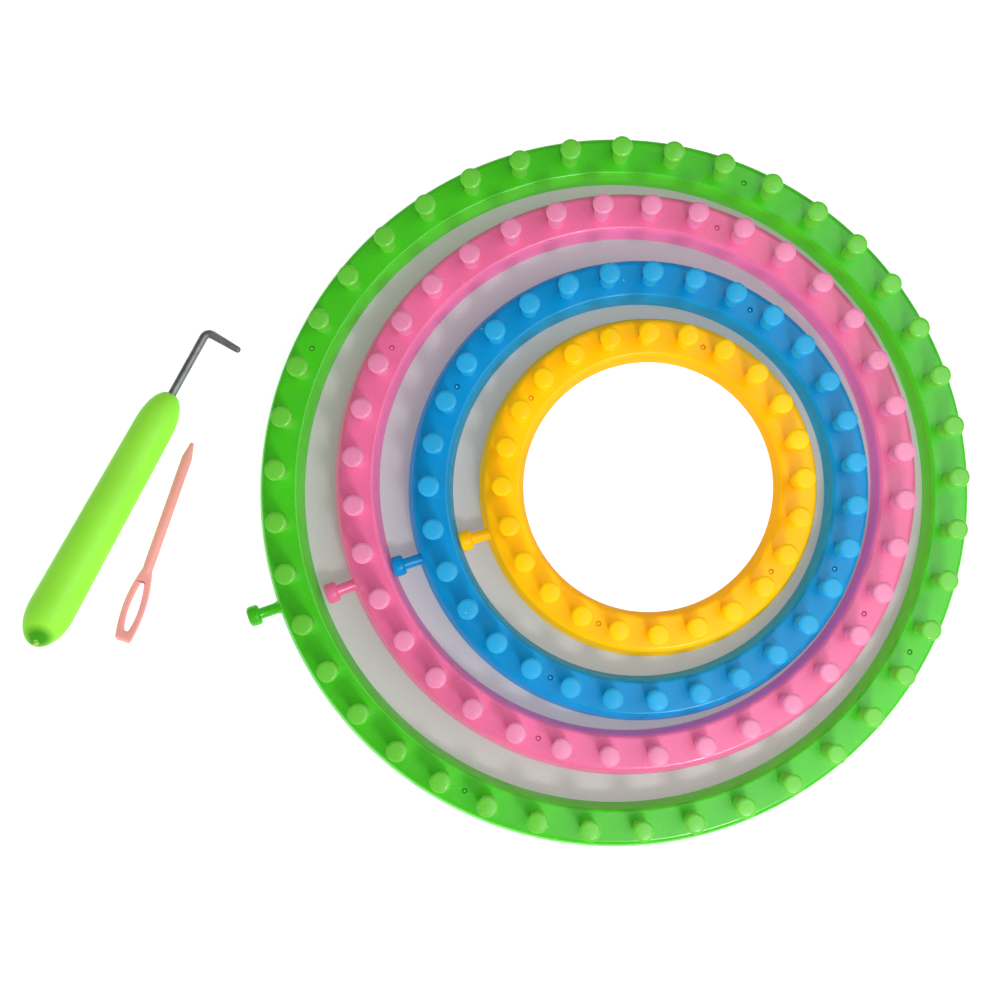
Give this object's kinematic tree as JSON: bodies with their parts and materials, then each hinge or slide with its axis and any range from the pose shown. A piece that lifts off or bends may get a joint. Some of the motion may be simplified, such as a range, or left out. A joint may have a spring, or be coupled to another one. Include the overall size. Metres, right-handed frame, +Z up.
{
  "type": "round knitting loom set",
  "caption": "Nested round knitting looms, each a channel ring with mushroom pegs and a side peg, with a bent steel hook tool and a plastic yarn needle.",
  "frame": {"origin": "under the middle of the whole set's box, on the surface that it rests on", "axes": "+Z up, +X from the hook tool towards the looms, +Y away from the front of the set"},
  "size_m": [0.3824, 0.29, 0.035],
  "materials": {
    "green_plastic": "glossy",
    "pink_plastic": "glossy",
    "blue_plastic": "glossy",
    "yellow_plastic": "glossy",
    "handle_plastic": "satin",
    "hook_steel": "drawn wire",
    "needle_plastic": "glossy"
  },
  "bodies": {
    "green_loom": {"green_ring": "green_plastic", "green_pegs_near": "green_plastic", "green_pegs_left": "green_plastic", "green_pegs_far": "green_plastic", "green_pegs_right": "green_plastic", "green_side_peg": "green_plastic"},
    "pink_loom": {"pink_ring": "pink_plastic", "pink_pegs_near": "pink_plastic", "pink_pegs_left": "pink_plastic", "pink_pegs_far": "pink_plastic", "pink_pegs_right": "pink_plastic", "pink_side_peg": "pink_plastic"},
    "blue_loom": {"blue_ring": "blue_plastic", "blue_pegs_near": "blue_plastic", "blue_pegs_left": "blue_plastic", "blue_pegs_far": "blue_plastic", "blue_pegs_right": "blue_plastic", "blue_side_peg": "blue_plastic"},
    "yellow_loom": {"yellow_ring": "yellow_plastic", "yellow_pegs_near": "yellow_plastic", "yellow_pegs_left": "yellow_plastic", "yellow_pegs_far": "yellow_plastic", "yellow_pegs_right": "yellow_plastic", "yellow_side_peg": "yellow_plastic"},
    "hook_tool": {"hook_handle": "handle_plastic", "hook_shank": "hook_steel"},
    "needle": {"yarn_needle": "needle_plastic"}
  },
  "joints": [
    {"name": "pink_loom_lift", "type": "slide", "parent": "green_loom", "child": "pink_loom", "axis": [0, 0, 1], "range_m": [0, 0.06]},
    {"name": "blue_loom_lift", "type": "slide", "parent": "green_loom", "child": "blue_loom", "axis": [0, 0, 1], "range_m": [0, 0.06]},
    {"name": "yellow_loom_lift", "type": "slide", "parent": "green_loom", "child": "yellow_loom", "axis": [0, 0, 1], "range_m": [0, 0.06]},
    {"name": "hook_tool_lift", "type": "slide", "parent": "green_loom", "child": "hook_tool", "axis": [0, 0, 1], "range_m": [0, 0.06]},
    {"name": "needle_lift", "type": "slide", "parent": "green_loom", "child": "needle", "axis": [0, 0, 1], "range_m": [0, 0.06]}
  ]
}
